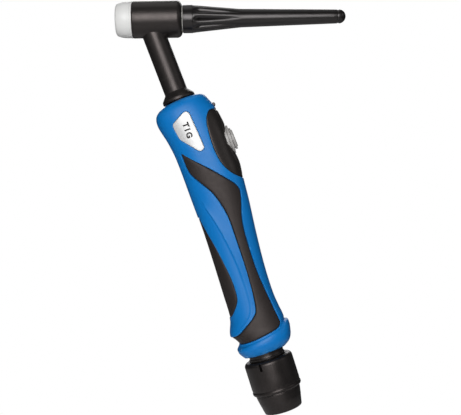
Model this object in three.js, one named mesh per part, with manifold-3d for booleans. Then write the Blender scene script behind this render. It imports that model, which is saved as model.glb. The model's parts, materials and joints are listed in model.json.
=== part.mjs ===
// A hand torch for TIG welding: a head on a flexible neck, a two-half ergonomic handle with a
// push button, and a cable cuff on a ball joint. Millimetres, +Z up, head axis along X with the
// electrode side at -X, the two handle halves either side of the plane Y = 0.
import * as THREE from "three";
import { mergeVertices } from "three/addons/utils/BufferGeometryUtils.js";
import Module from "manifold-3d";

const wasm = await Module();
wasm.setup();

// ---- driving dimensions: mm, degrees ----
const GAP = 0.3; // between pieces that touch
const FACETS = 24; // sides of a large turned piece

// where the head's axis meets the neck's, from the middle of the grip
const HEAD_AT = [-52, 0, 143];
const HEAD = { radius: 13, front: -11.2, rear: 23.6, core: 9.3, nose: 7.5, frontBore: 5.2, rearBore: 6.3 };
const GASKET = { front: -24.3, radius: 12.7, edge: 3.4 };
const CAP = { seat: 24.7, baseEnd: 32, baseR: 9.9, ribEnd: 65, tip: 139.8, ribs: 9, bore: 3.2, stubR: 6 };

const NECK_TILT = 20;
const SLEEVE_R = 8.3;
const TUBE_R = 5;
// distances down the neck from the head's axis
const NECK = { stubEnd: 17.6, pivots: [22, 31, 40, 49], pitch: 9, bootTop: 54.6, handleTop: 62.3, tubeEnd: 127 };

const HANDLE_TILT = 18;
const HANDLE = { length: 186.5, squareness: 2.35, wall: 3.2, cavityEnd: 163 };
const GRIP = { recess: 0.15, under: 1.35, floor: 1.65 };
const BADGE = { recess: 0.1, under: 0.9, floor: 1.2 };
const HOUSING = { under: 2.3, floor: 2.6 };
// screw places: distance down the handle, distance across it
const SCREWS = [[14, -14.5], [66, -10], [156, -7.5]];

// the button stack: heights across the handle, at a distance down it
const BUTTON = { down: 37, long: 8, wide: 5.6, low: 22, high: 28.6 };
const SWITCH = { low: 8.4, high: 16.9, long: 20, wide: 6.4 };

const CUFF_TILT = 16.6;
const BALL = { down: 182, radius: 14, liner: [14.15, 14.6], seat: 15, bore: 9.4 };
const CUFF = { radius: 17.5, ringR: 13, ring: [4.8, 8, 9.2], top: 9.5, rim: 34, end: 48 };

// ---- finishes ----
function finish(hex, roughness, metalness = 0) {
  return new THREE.MeshStandardMaterial({ color: hex, roughness, metalness });
}
const BLUE = finish(0x0a6cb8, 0.4);
const BLACK = finish(0x282525, 0.5);
const RUBBER = finish(0x1e1c1c, 0.75);
const WHITE = finish(0xe8e8e6, 0.5);
const GREY = finish(0xa5a09b, 0.45);
const SILVER = finish(0xc8c8c8, 0.35, 0.4);
const BRASS = finish(0xb5903f, 0.35, 1);
const COPPER = finish(0xb06a45, 0.4, 1);
const STEEL = finish(0xb8b8b8, 0.3, 1);
const PLASTIC = finish(0x3a3a3c, 0.6);

// ---- solids: joins and cuts ----
function solid(geometry) {
  const bare = geometry.index ? geometry.toNonIndexed() : geometry.clone();
  bare.deleteAttribute("normal");
  bare.deleteAttribute("uv");
  const merged = mergeVertices(bare, 1e-4);
  const vertProperties = merged.attributes.position.array;
  const triVerts = new Uint32Array(merged.index.array);
  return new wasm.Manifold(new wasm.Mesh({ numProp: 3, vertProperties, triVerts }));
}

function geometryOf(made) {
  const { vertProperties, triVerts } = made.getMesh();
  const geometry = new THREE.BufferGeometry();
  geometry.setAttribute("position", new THREE.BufferAttribute(vertProperties, 3));
  geometry.setIndex(new THREE.BufferAttribute(triVerts, 1));
  geometry.computeVertexNormals();
  return geometry;
}

function cut(body, ...tools) {
  return tools.reduce((rest, tool) => rest.subtract(tool), body);
}

function join(first, ...others) {
  return others.reduce((whole, other) => whole.add(other), first);
}

// ---- plain shapes, all with their axis along +Z ----
function turned(profile, facets = FACETS) {
  const points = profile.map(([radius, height]) => new THREE.Vector2(radius, height));
  return new THREE.LatheGeometry(points, facets).rotateX(Math.PI / 2);
}

// A ring between two heights, from its inner to its outer radius.
function ring(inner, outer, low, high, facets = FACETS) {
  return turned([[inner, low], [outer, low], [outer, high], [inner, high], [inner, low]], facets);
}

function rod(radius, low, high, facets = FACETS) {
  return turned([[0, low], [radius, low], [radius, high], [0, high]], facets);
}

// A block from its lowest to its highest corner.
function block(low, high) {
  const size = high.map((top, axis) => top - low[axis]);
  const centre = high.map((top, axis) => (top + low[axis]) / 2);
  return new THREE.BoxGeometry(...size).translate(...centre);
}

// Points along a quarter turn of an edge rounding, [radius, height] each.
function rounding(centreR, centreH, radius, from, to, steps = 3) {
  return Array.from({ length: steps + 1 }, (_, step) => {
    const angle = THREE.MathUtils.degToRad(from + ((to - from) * step) / steps);
    return [centreR + radius * Math.cos(angle), centreH + radius * Math.sin(angle)];
  });
}

// ---- the scene graph ----
const torch = new THREE.Group();

function frame(position, tilt) {
  const group = new THREE.Group();
  group.position.set(...position);
  group.rotation.y = -THREE.MathUtils.degToRad(tilt);
  torch.add(group);
  return group;
}

// A point some way down an axis that leans by tilt, in the plane Y = 0.
function downFrom([x, y, z], tilt, distance) {
  const angle = THREE.MathUtils.degToRad(tilt);
  return [x + distance * Math.sin(angle), y, z - distance * Math.cos(angle)];
}

function place(group, name, shape, look) {
  const geometry = shape.isBufferGeometry ? shape : geometryOf(shape);
  const mesh = new THREE.Mesh(geometry, look.clone());
  mesh.name = name;
  group.add(mesh);
}

const head = frame(HEAD_AT, 0);
const neck = frame(HEAD_AT, NECK_TILT);
const handleTop = downFrom(HEAD_AT, NECK_TILT, NECK.handleTop);
const handle = frame(handleTop, HANDLE_TILT);
const cuff = frame(downFrom(handleTop, HANDLE_TILT, BALL.down), CUFF_TILT);

// ---- head: a moulded shell over a brass core, with the neck's tube brazed in ----
function alongX(geometry) {
  return geometry.rotateY(Math.PI / 2);
}

// The neck's axis as seen in the head's own frame.
function leanNeck(geometry) {
  return geometry.rotateY(-THREE.MathUtils.degToRad(NECK_TILT));
}

function headShell() {
  const edge = 3.8;
  const body = turned([
    [0, HEAD.front + GAP],
    [HEAD.radius - 0.5, HEAD.front + GAP],
    [HEAD.radius, HEAD.front + 1],
    ...rounding(HEAD.radius - edge, HEAD.rear - edge, edge, 0, 90, 4),
    [0, HEAD.rear],
  ]);
  const stub = leanNeck(rod(SLEEVE_R, -NECK.stubEnd, 0));
  const bore = alongX(rod(HEAD.core + GAP, HEAD.front - 1, HEAD.rear + 1));
  const outlet = leanNeck(rod(TUBE_R + GAP, -NECK.stubEnd - 1, 0, 20));
  return cut(join(solid(alongX(body)), solid(stub)), solid(bore), solid(outlet));
}

function headCore() {
  const nose = GASKET.front + 3;
  const profile = [
    [HEAD.frontBore, nose],
    [HEAD.nose, nose],
    [HEAD.nose, HEAD.front],
    [HEAD.core, HEAD.front],
    [HEAD.core, HEAD.rear - 0.2],
    [HEAD.rearBore, HEAD.rear - 0.2],
    [HEAD.rearBore, 10],
    [HEAD.frontBore, 6],
    [HEAD.frontBore, nose],
  ];
  const port = leanNeck(rod(TUBE_R + GAP, -16, -7.4, 20));
  return cut(solid(alongX(turned(profile))), solid(port));
}

function cupGasket() {
  const { front, radius, edge } = GASKET;
  const inner = HEAD.nose + GAP;
  const profile = [
    [inner, HEAD.front],
    [inner, front],
    ...rounding(radius - edge, front + edge, edge, -90, 0, 4),
    [HEAD.radius - 0.1, HEAD.front],
  ];
  return alongX(turned([...profile, profile[0]]));
}

place(head, "head_shell", headShell(), RUBBER);
place(head, "head_core", headCore(), BRASS);
place(head, "cup_gasket", cupGasket(), WHITE);

// ---- back cap: a fluted moulding that screws into the core and traps an O-ring ----
// The flutes are waves between a valley line and a crest line, fading down the cap.
function capValley(along) {
  const t = THREE.MathUtils.smoothstep(along, CAP.baseEnd, 40);
  const body = THREE.MathUtils.mapLinear(along, 40, 134, 7.1, 4.9);
  return THREE.MathUtils.lerp(CAP.baseR - 0.3, body, t);
}

function capCrest(along) {
  const t = THREE.MathUtils.smoothstep(along, CAP.baseEnd - 4, CAP.ribEnd + 4);
  return THREE.MathUtils.lerp(CAP.baseR - 0.1, capValley(Math.max(along, 40)), t);
}

function backCap() {
  const flutes = [33, 35.5, 38, 42, 50, 58, 65, 133.6];
  const profile = [
    [CAP.bore, 14],
    [CAP.stubR, 14],
    [CAP.stubR, CAP.seat],
    [CAP.baseR - 0.4, CAP.seat],
    [CAP.baseR, CAP.seat + 0.4],
    [CAP.baseR, CAP.baseEnd],
    ...flutes.map((along) => [capValley(along), along]),
    [4.4, 134.3],
    [4.4, 135.1],
    [4.9, 135.8],
    ...rounding(0, CAP.tip - 4.7, 4.7, 20, 90, 2).slice(0, -1),
    [0, CAP.tip],
    [0, 131],
    [CAP.bore, 129],
    [CAP.bore, 14],
  ];
  const cap = turned(profile, CAP.ribs * 4);
  const at = cap.attributes.position;
  for (let i = 0; i < at.count; i += 1) {
    const along = at.getZ(i);
    const radius = Math.hypot(at.getX(i), at.getY(i));
    const fluted = along > CAP.baseEnd + 0.1 && along < CAP.ribEnd && radius > CAP.bore + 1;
    const wave = (1 + Math.cos(CAP.ribs * Math.atan2(at.getY(i), at.getX(i)))) / 2;
    const grown = fluted ? (capCrest(along) - capValley(along)) * wave : 0;
    const scale = 1 + (radius > 0 ? grown / radius : 0);
    at.setXY(i, at.getX(i) * scale, at.getY(i) * scale);
  }
  return alongX(cap);
}

place(head, "back_cap", backCap(), BLACK);
place(head, "cap_oring", alongX(ring(7.2, 10.1, HEAD.rear + 0.2, HEAD.rear + 0.9)), WHITE);

// ---- neck: a corrugated copper tube in sections, in a rubber sleeve ----
// Each pivot has a section of tube either side of it and a length of sleeve across it.
const TUBE_CLEARANCE = 0.9;

function tubeSection(top, bottom) {
  return ring(3.6, TUBE_R, -bottom, -top, 16);
}

function neckTubes() {
  const starts = [8.6, ...NECK.pivots.map((pivot) => pivot + TUBE_CLEARANCE)];
  const ends = [...NECK.pivots.map((pivot) => pivot - TUBE_CLEARANCE), NECK.handleTop + 1];
  starts.forEach((top, i) => place(neck, `neck_tube_${i + 1}`, tubeSection(top, ends[i]), COPPER));
}

function neckSleeves() {
  NECK.pivots.forEach((pivot, i) => {
    const top = i ? pivot - NECK.pitch / 2 + GAP / 2 : NECK.stubEnd + GAP;
    const bottom = i < 3 ? pivot + NECK.pitch / 2 - GAP / 2 : NECK.bootTop - GAP;
    place(neck, `neck_sleeve_${i + 1}`, ring(TUBE_R + 0.4, SLEEVE_R, -bottom, -top, 20), RUBBER);
  });
}

function neckBoot() {
  const { bootTop, handleTop: seat } = NECK;
  const inner = TUBE_R + 0.4;
  const flange = seat + HANDLE.wall + 0.6;
  const profile = [
    [inner, -flange - 2],
    [9.6, -flange - 2],
    [9.6, -flange],
    [SLEEVE_R, -flange],
    [SLEEVE_R, -seat + 0.7],
    [11.4, -seat + 0.7],
    [11.8, -seat + 1.2],
    [10.6, -seat + 2.2],
    [9.4, -seat + 4],
    [SLEEVE_R + 0.1, -bootTop - 1],
    [SLEEVE_R, -bootTop],
    [inner, -bootTop],
    [inner, -flange - 2],
  ];
  return turned(profile);
}

neckTubes();
neckSleeves();
place(neck, "neck_boot", neckBoot(), RUBBER);

// ---- power tail: the rigid tube on into the handle, its clamp, nut and nipple ----
function hexNut(across, low, high, bore) {
  return cut(solid(rod(across / Math.sqrt(3), low, high, 6)), solid(rod(bore, low - 1, high + 1, 12)));
}

place(neck, "body_tube", ring(2.8, 4.2, -NECK.tubeEnd, -NECK.handleTop - 1 - GAP, 12), COPPER);
place(neck, "tube_clamp", ring(4.5, 9.2, -84, -76, 16), PLASTIC);
place(neck, "tail_nut", hexNut(14, -NECK.tubeEnd + 1, -NECK.tubeEnd + 9, 4.5), BRASS);
place(neck, "tail_nipple", ring(2.8, 4.6, -NECK.tubeEnd - 14, -NECK.tubeEnd - GAP, 12), BRASS);

// ---- handle: a superellipse section swept down between a front line and a back line ----
// Each line is [distance down from the top face, distance across] with +X at the button side.
function line(points) {
  const downs = points.map(([down]) => down);
  const values = points.map(([, value]) => value);
  const curve = new THREE.CubicInterpolant(downs, values, 1);
  return (down) => curve.evaluate(down)[0];
}

const frontLine = line([
  [0, -11.6], [1.8, -16.9], [5.5, -19.9], [12.5, -20.4], [25, -17.6], [38, -15.8], [68, -15], [95, -14.6],
  [140, -15.8], [158, -16.7], [168.8, -20.2], [172.8, -17.6], [176.6, -16.2], [179.7, -18.7], [182.4, -18.2],
  [186.5, -15.4],
]);
const backLine = line([
  [0, 11.6], [1.5, 16.8], [6, 19.9], [14, 22.9], [26, 24.7], [47, 25.5], [56, 26.2], [68, 25], [82, 23.8],
  [105, 21.2], [128, 19.2], [148, 18.6], [160, 19.5], [171.7, 21.4], [179.7, 21.2], [184, 19], [186.5, 15.6],
]);
const halfLine = line([
  [0, 11.6], [1.8, 14.4], [5.5, 16.2], [12.5, 16.8], [40, 16.8], [70, 16.2], [110, 15.4], [150, 15.8],
  [165, 17.2], [176, 18.8], [180, 19.3], [184, 17.9], [186.5, 15.5],
]);

// The handle's outside, or the same form drawn in by an inset, between the given stations.
function form(stations, inset = 0, sides = 20) {
  const last = stations.length - 1;
  const tube = new THREE.CylinderGeometry(1, 1, 1, sides, last);
  const at = tube.attributes.position;
  const square = (c) => Math.sign(c) * Math.abs(c) ** (2 / HANDLE.squareness);
  for (let i = 0; i < at.count; i += 1) {
    const down = stations[Math.round((0.5 - at.getY(i)) * last)];
    const [front, back] = [frontLine(down), backLine(down)];
    const across = (front + back) / 2 + ((back - front) / 2 - inset) * square(at.getZ(i));
    at.setXYZ(i, across, (halfLine(down) - inset) * square(at.getX(i)), -down);
  }
  return solid(tube);
}

const OUTER_STATIONS = [
  0, 1.6, 5.5, 12.5, 24, 38, 52, 66, 82, 104, 128, 148, 160, 168.8, 173, 176.6, 180, 183.4, HANDLE.length,
];
const CAVITY_STATIONS = [HANDLE.wall, 6, 14, 30, 60, 90, 120, 150, HANDLE.cavityEnd];

const outside = form(OUTER_STATIONS);
const skinOf = (recess, under) => cut(form(OUTER_STATIONS, recess), form(OUTER_STATIONS, under));

// Half the thickness of the handle at a place on it.
function halfAt(down, across) {
  const [front, back] = [frontLine(down), backLine(down)];
  const u = Math.abs((2 * across - front - back) / (back - front));
  return halfLine(down) * (1 - u ** HANDLE.squareness) ** (1 / HANDLE.squareness);
}

// ---- panel outlines: runs of [down, across] points, a smooth run each, a corner between ----
const SIDE_GRIP = [
  [[35.6, -11.3], [42.3, -5.6], [51.4, 3.3], [60.4, 11.6], [68, 18.4], [72.8, 20.6]],
  [[72.8, 20.6], [79.5, 19.1], [91.8, 15.3], [103.5, 13.6], [131, 13.2], [158.7, 15.9], [169.4, 17.2]],
  [[169.4, 17.2], [172, 14.4], [173.9, 4.5], [175.4, -6.7], [176.6, -24]],
  [[172.5, -24], [170.4, -15.7], [167, -9.1], [159.1, 1.6], [152.9, 3.7], [132.9, 5.7], [107, 6.2]],
  [[107, 6.2], [86.2, 5.7], [70.1, 1.4], [60.2, -4.7], [51.5, -10], [42.7, -11.2], [35.6, -11.3]],
];
const SPINE_GRIP = [
  [[82.4, -22], [82.4, -14]],
  [[82.4, -14], [92.2, -12.4], [106.2, -9.6], [119.9, -7.5], [131.9, -6.2], [143.9, -6.7], [148.6, -8.9]],
  [[148.6, -8.9], [155.6, -15.2], [155.6, -22]],
];
const HOUSING_EDGE = [
  [[12.7, 32], [12.7, 18.6]],
  [[12.7, 18.6], [14, 16.9], [18.4, 14.2], [24.4, 12.8], [40.3, 12.1], [51.8, 14], [60, 18.5], [66, 25.4]],
  [[66, 25.4], [67, 32]],
];
// the opening under the button unit, smaller all round so that a ledge is left
const HOUSING_LEDGE = [
  [[16, 32], [16, 20]],
  [[16, 20], [20, 17], [30, 15.3], [42, 15.4], [53, 18], [61, 24]],
  [[61, 24], [62, 32]],
];
const BADGE_EDGE = [
  [[7.5, 1.8], [8.6, -1.4], [13, -9.4]],
  [[13, -9.4], [14.6, -10.2], [25.3, -8.7], [36.6, 1.4]],
  [[36.6, 1.4], [37.4, 3.4], [35.2, 6.3], [9.6, 3.9]],
];

function outlinePoints(runs) {
  const path = new THREE.Path();
  path.moveTo(runs[0][0][1], -runs[0][0][0]);
  for (const run of runs) {
    const points = run.map(([down, across]) => new THREE.Vector2(across, -down));
    if (run !== runs[0]) path.lineTo(points[0].x, points[0].y);
    if (points.length > 2) path.splineThru(points.slice(1));
    else path.lineTo(points[1].x, points[1].y);
  }
  const found = path.getPoints(1);
  return found.filter((p, i) => p.distanceTo(found[(i + 1) % found.length]) > 0.05);
}

// The outline moved outwards by a margin, each corner along its bisector.
function grown(points, margin) {
  const outwards = THREE.ShapeUtils.area(points) > 0 ? 1 : -1;
  return points.map((here, i) => {
    const before = points.at(i - 1);
    const after = points[(i + 1) % points.length];
    const along = after.clone().sub(here).normalize().add(here.clone().sub(before).normalize()).normalize();
    return here.clone().add(new THREE.Vector2(along.y, -along.x).multiplyScalar(margin * outwards));
  });
}

// A prism across the whole handle, from an outline on its side.
function prism(runs, margin = 0, low = -30, high = 30) {
  const shape = new THREE.Shape(grown(outlinePoints(runs), margin));
  const geometry = new THREE.ExtrudeGeometry(shape, { depth: high - low, bevelEnabled: false });
  return solid(geometry.rotateX(Math.PI / 2).translate(0, high, 0));
}

function sideOf(sign) {
  const [low, high] = sign < 0 ? [-30, -GAP / 2] : [GAP / 2, 30];
  return solid(block([-60, low, -200], [60, high, 20]));
}

const gripSkin = skinOf(GRIP.recess, GRIP.under);
const gripPocket = cut(form(OUTER_STATIONS, -1), form(OUTER_STATIONS, GRIP.floor));
const badgeSkin = skinOf(BADGE.recess, BADGE.under);
const badgePocket = cut(form(OUTER_STATIONS, -1), form(OUTER_STATIONS, BADGE.floor));

// Across the handle, along +Y, at a place on its side.
function acrossAt([down, across], geometry) {
  return solid(geometry.rotateX(-Math.PI / 2).translate(across, 0, -down));
}

function ballSeat() {
  const sphere = new THREE.SphereGeometry(BALL.seat, 20, 14).rotateX(Math.PI / 2).translate(0, 0, -BALL.down);
  const throat = rod(11.6, -BALL.down, -HANDLE.cavityEnd + 1, 20);
  return join(solid(sphere), solid(throat));
}

function pockets() {
  const slot = block([14, -3.4, -12.4], [32, 3.4, -9.9]);
  return [
    form(CAVITY_STATIONS, HANDLE.wall, 16),
    ballSeat(),
    gripPocket.intersect(prism(SIDE_GRIP, GAP)),
    gripPocket.intersect(prism(SPINE_GRIP, GAP)),
    badgePocket.intersect(prism(BADGE_EDGE, GAP)),
    cut(form(OUTER_STATIONS, -1), form(OUTER_STATIONS, HOUSING.floor)).intersect(prism(HOUSING_EDGE, GAP)),
    prism(HOUSING_LEDGE),
    solid(rod(SLEEVE_R + GAP, -HANDLE.wall - 2, 1, 20)),
    solid(slot),
  ];
}

// Each half has a boss for every screw: a pilot hole at the left, a sunk head at the right.
function handleHalves() {
  const hollow = cut(outside, ...pockets());
  const within = form(OUTER_STATIONS, HANDLE.wall / 2);
  const bosses = SCREWS.map((at) => acrossAt(at, rod(4, -halfAt(...at), halfAt(...at), 12)).intersect(within));
  const holes = SCREWS.map((at) => acrossAt(at, rod(1.7, -halfAt(...at) + 3.4, 30, 8)));
  const sinks = SCREWS.map((at) => acrossAt(at, rod(3, halfAt(...at) - 3, 30, 12)));
  const whole = cut(join(hollow, ...bosses), ...holes, ...sinks);
  place(handle, "handle_shell_left", whole.intersect(sideOf(-1)), BLUE);
  place(handle, "handle_shell_right", whole.intersect(sideOf(1)), BLUE);
}

function grips() {
  const sides = gripSkin.intersect(prism(SIDE_GRIP));
  place(handle, "side_grip_left", sides.intersect(sideOf(-1)), RUBBER);
  place(handle, "side_grip_right", sides.intersect(sideOf(1)), RUBBER);
  place(handle, "spine_grip", gripSkin.intersect(prism(SPINE_GRIP)), RUBBER);
  const badges = badgeSkin.intersect(prism(BADGE_EDGE));
  place(handle, "badge_left", badges.intersect(sideOf(-1)), SILVER);
  place(handle, "badge_right", badges.intersect(sideOf(1)), SILVER);
}

// A self-tapping screw with a domed head and a hexagon socket.
function screws() {
  SCREWS.forEach((at, i) => {
    const seat = halfAt(...at) - 2.9;
    const dome = rounding(0, seat - 2.6, 4.4, 52, 90, 2).slice(0, -1);
    const profile = [[0, -7.5], [0.5, -7.5], [1.4, -6], [1.4, seat], [2.7, seat], ...dome, [0, seat + 1.8]];
    const socket = acrossAt(at, rod(1.2, seat + 0.7, seat + 4, 6));
    place(handle, `handle_screw_${i + 1}`, cut(acrossAt(at, turned(profile, 12)), socket), STEEL);
  });
}

handleHalves();
grips();
screws();

// ---- button unit: an oval button in a bezel, on a microswitch held in a carrier ----
// An oval boss standing across the handle on the button's axis.
function oval(long, wide, low, high, facets = 20) {
  const shape = rod(1, low, high, facets).scale(long, wide, 1);
  return shape.rotateY(Math.PI / 2).translate(0, 0, -BUTTON.down);
}

function buttonRod(radius, low, high) {
  return oval(radius, radius, low, high, 10);
}

function switchHousing() {
  const skin = skinOf(0, HOUSING.under).intersect(prism(HOUSING_EDGE));
  return cut(skin, solid(oval(10.6, 8.1, 14, 34)));
}

function pushButton() {
  const { long, wide, low, high } = BUTTON;
  const steps = [
    oval(long, wide, low - 1, high - 2.4),
    oval(long - 1, wide - 0.9, low, high - 1.2),
    oval(long - 2.2, wide - 1.9, low, high - 0.4),
    oval(long - 3.6, wide - 3, low, high),
    oval(9.2, 6.8, low - 1.1, low),
    buttonRod(2, 19, low),
  ];
  return join(...steps.map(solid));
}

function buttonSpring() {
  const [low, high, turns, radius] = [17.5, 20.3, 3, 3.1];
  const at = (angle) =>
    new THREE.Vector3(
      THREE.MathUtils.mapLinear(angle, 0, turns * 2 * Math.PI, low, high),
      radius * Math.sin(angle),
      radius * Math.cos(angle) - BUTTON.down,
    );
  const stops = Array.from({ length: turns * 8 + 1 }, (_, i) => at((i * Math.PI) / 4));
  const wire = new THREE.Shape().absarc(0, 0, 0.3, 0, 2 * Math.PI);
  const path = new THREE.CatmullRomCurve3(stops);
  const options = { extrudePath: path, steps: turns * 8, curveSegments: 2, bevelEnabled: false };
  return new THREE.ExtrudeGeometry(wire, options);
}

// A block in the handle's frame, from distances across, along Y and down.
function cell([across0, across1], [y0, y1], [down0, down1]) {
  return block([across0, y0, -down1], [across1, y1, -down0]);
}

const SWITCH_ENDS = [BUTTON.down - SWITCH.long / 2, BUTTON.down + SWITCH.long / 2];

function microswitch() {
  const half = SWITCH.wide / 2;
  const body = cell([SWITCH.low, SWITCH.high], [-half, half], SWITCH_ENDS);
  const well = cell([13.4, 30], [-1.7, 1.7], [BUTTON.down - 1.2, BUTTON.down + 1.2]);
  const pins = [-5, 5].map((off) => acrossAt([BUTTON.down + off, 11], rod(1.1, -9, 9, 12)));
  return cut(solid(body), solid(well), ...pins);
}

function switchCarrier() {
  const [top, bottom] = SWITCH_ENDS;
  const low = SWITCH.low - 1.5;
  const floor = cell([low, SWITCH.low - GAP], [-5.4, 5.4], [top - 5, bottom + 7]);
  const head1 = cell([low, 19.8], [-5.4, 5.4], [top - 5, top - 2]);
  const feet = [-1, 1].map((s) => {
    const edges = [s * 3.6, s * 5.4].sort((a, b) => a - b);
    return solid(cell([low, 19.8], edges, [bottom + 4.4, bottom + 7]));
  });
  const cheeks = [-1, 1].map((s) => {
    const edges = [s * (SWITCH.wide / 2 + GAP), s * 5.4].sort((a, b) => a - b);
    return solid(cell([low, 13], edges, [top, bottom]));
  });
  return join(solid(floor), solid(head1), ...feet, ...cheeks);
}

function switchPlunger() {
  return cell([15.1, 18.7], [-1.4, 1.4], [BUTTON.down - 0.9, BUTTON.down + 0.9]);
}

function switchTerminal(low) {
  return cell([low, low + 0.7], [-1.4, 1.4], [SWITCH_ENDS[1] + GAP, SWITCH_ENDS[1] + 5]);
}

// Each wire leaves its terminal, runs beside the power tail and ends at the plug.
function switchWire(startAcross, side) {
  const stops = [
    [startAcross, 0, SWITCH_ENDS[1] + 5 + GAP],
    [startAcross - 0.5, side * 1.5, 60],
    [11, side * 3, 72],
    [8.5, side * 3, 92],
    [7, side * 2.2, 112 - GAP],
  ];
  const path = new THREE.CatmullRomCurve3(stops.map(([across, y, down]) => new THREE.Vector3(across, y, -down)));
  const section = new THREE.Shape().absarc(0, 0, 0.8, 0, 2 * Math.PI);
  return new THREE.ExtrudeGeometry(section, { extrudePath: path, steps: 12, curveSegments: 4, bevelEnabled: false });
}

function wirePlug() {
  const body = cell([3.8, 10.2], [-5, 5], [112, 128]);
  const key = cell([10.1, 11.4], [-2, 2], [114, 122]);
  const sockets = [-2.4, 2.4].map((y) => solid(cell([5.8, 8.2], [y - 1.2, y + 1.2], [122, 130])));
  return cut(join(solid(body), solid(key)), ...sockets);
}

// The tab that locks the button unit's upper edge into the handle.
function housingLatch() {
  const tab = [
    [[8.4, 21.9], [9.2, 23.3], [12.1, 24.2]],
    [[12.1, 24.2], [12.1, 16.6]],
    [[10.3, 16.6], [10.3, 22.3]],
  ];
  return prism(tab, 0, -3, 3);
}

place(handle, "switch_housing", switchHousing(), BLACK);
place(handle, "housing_latch", housingLatch(), BLACK);
place(handle, "button_bezel", cut(solid(oval(10.25, 7.75, 22.4, 25.9)), solid(oval(8.3, 5.9, 20, 30))), BLACK);
place(handle, "push_button", pushButton(), GREY);
place(handle, "button_spring", buttonSpring(), STEEL);
place(handle, "microswitch", microswitch(), PLASTIC);
place(handle, "switch_plunger", switchPlunger(), WHITE);
place(handle, "switch_carrier", switchCarrier(), BLACK);
place(handle, "switch_terminal_a", switchTerminal(14.2), BRASS);
place(handle, "switch_terminal_b", switchTerminal(10.4), BRASS);
place(handle, "switch_wire_a", switchWire(14.5, 1), RUBBER);
place(handle, "switch_wire_b", switchWire(10.8, -1), RUBBER);
place(handle, "wire_plug", wirePlug(), WHITE);

// ---- cuff: a hollow ball in a floating liner, carrying the two-part cable cuff ----
// Heights are measured down the cuff's axis from the ball's centre.
function ballJoint() {
  const { radius, bore } = BALL;
  const [ringTop, step, ringEnd] = CUFF.ring;
  const arc = rounding(0, 0, radius, -18, 40, 4);
  const profile = [
    [bore, -20],
    [11.4, -20],
    [11.4, -ringEnd],
    [CUFF.ringR, -ringEnd],
    [CUFF.ringR, -step],
    [CUFF.ringR - 0.6, -step + 0.2],
    [CUFF.ringR - 0.6, -ringTop],
    ...arc,
    [bore, 9],
    [bore, -20],
  ];
  return turned(profile);
}

function ballLiner() {
  const [inner, outer] = BALL.liner;
  const outside = rounding(0, 0, outer, -8, 34);
  const inside = rounding(0, 0, inner, 34, -8);
  return turned([...outside, ...inside, outside[0]]);
}

function cuffUpper() {
  const { radius, top, rim } = CUFF;
  const profile = [
    [15.4, -rim],
    [radius + 0.1, -rim],
    [radius + 0.4, -rim + 1],
    [radius + 0.4, -rim + 2.6],
    [radius, -rim + 3.4],
    ...rounding(radius - 3, -top - 3, 3, 0, 90, 4),
    [11.7, -top],
    [11.7, -22],
    [15.4, -22],
    [15.4, -rim],
  ];
  const angle = THREE.MathUtils.degToRad(-112);
  const window = block([12.4, -1, -18], [22, 1, -13.4]).rotateZ(angle);
  return cut(solid(turned(profile)), solid(window));
}

function cuffLower() {
  const { rim, end } = CUFF;
  const profile = [
    [10.6, -end],
    [13.2, -end],
    [13.6, -end + 0.5],
    [14.9, -end + 7],
    [15.9, -rim - 2],
    [16.1, -rim - GAP],
    [15.1, -rim - GAP],
    [15.1, -rim + 7],
    [12, -rim + 7],
    [12, -rim],
    [10.6, -end],
  ];
  return turned(profile);
}

place(cuff, "ball_joint", ballJoint(), BLACK);
place(cuff, "ball_liner", ballLiner(), WHITE);
place(cuff, "cuff_upper", cuffUpper(), BLACK);
place(cuff, "cuff_lower", cuffLower(), BLACK);
place(cuff, "cuff_clamp_ring", ring(11.6, 15.1, -26.6, -22.4), RUBBER);

export default torch;
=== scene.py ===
import json
from math import cos, pi, radians, sin, sqrt

import bmesh
import bpy
import numpy as np
from mathutils import Matrix, Vector
from mathutils.geometry import delaunay_2d_cdt


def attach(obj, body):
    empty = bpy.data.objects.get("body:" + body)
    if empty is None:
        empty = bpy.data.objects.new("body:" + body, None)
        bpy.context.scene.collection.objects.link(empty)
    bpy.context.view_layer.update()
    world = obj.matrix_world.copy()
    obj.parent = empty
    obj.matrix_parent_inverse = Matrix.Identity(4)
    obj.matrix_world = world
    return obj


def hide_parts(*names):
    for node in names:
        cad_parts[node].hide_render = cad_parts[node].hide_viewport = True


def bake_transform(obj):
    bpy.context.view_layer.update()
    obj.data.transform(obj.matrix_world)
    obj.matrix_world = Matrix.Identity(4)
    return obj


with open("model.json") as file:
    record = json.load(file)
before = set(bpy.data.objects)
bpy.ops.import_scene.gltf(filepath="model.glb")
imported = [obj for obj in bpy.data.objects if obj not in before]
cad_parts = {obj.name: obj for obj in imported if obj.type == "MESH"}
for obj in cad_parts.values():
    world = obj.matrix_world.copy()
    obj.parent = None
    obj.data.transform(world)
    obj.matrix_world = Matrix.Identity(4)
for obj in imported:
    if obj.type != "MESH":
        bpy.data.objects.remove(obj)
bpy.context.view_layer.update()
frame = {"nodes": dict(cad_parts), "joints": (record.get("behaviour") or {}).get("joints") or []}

# ---- camera, lights and floor ----
# A long lens at arm's length looks along +Y, rolled so that the torch leans a degree to the left.
# Five soft lights stand round the torch, and a pale floor lies well below it.
VIEW_FROM = Vector((0.004, -0.66, 0.0087))
VIEW_ROLL = radians(-1.0)
LENS = 72.6

camera = bpy.data.objects.new("camera", bpy.data.cameras.new("camera"))
camera.data.lens = LENS
camera.matrix_world = (
    Matrix.Translation(VIEW_FROM) @ Matrix.Rotation(pi / 2, 4, "X") @ Matrix.Rotation(VIEW_ROLL, 4, "Z")
)
bpy.context.collection.objects.link(camera)
bpy.context.scene.camera = camera
bpy.context.scene.view_settings.view_transform = "Standard"


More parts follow.
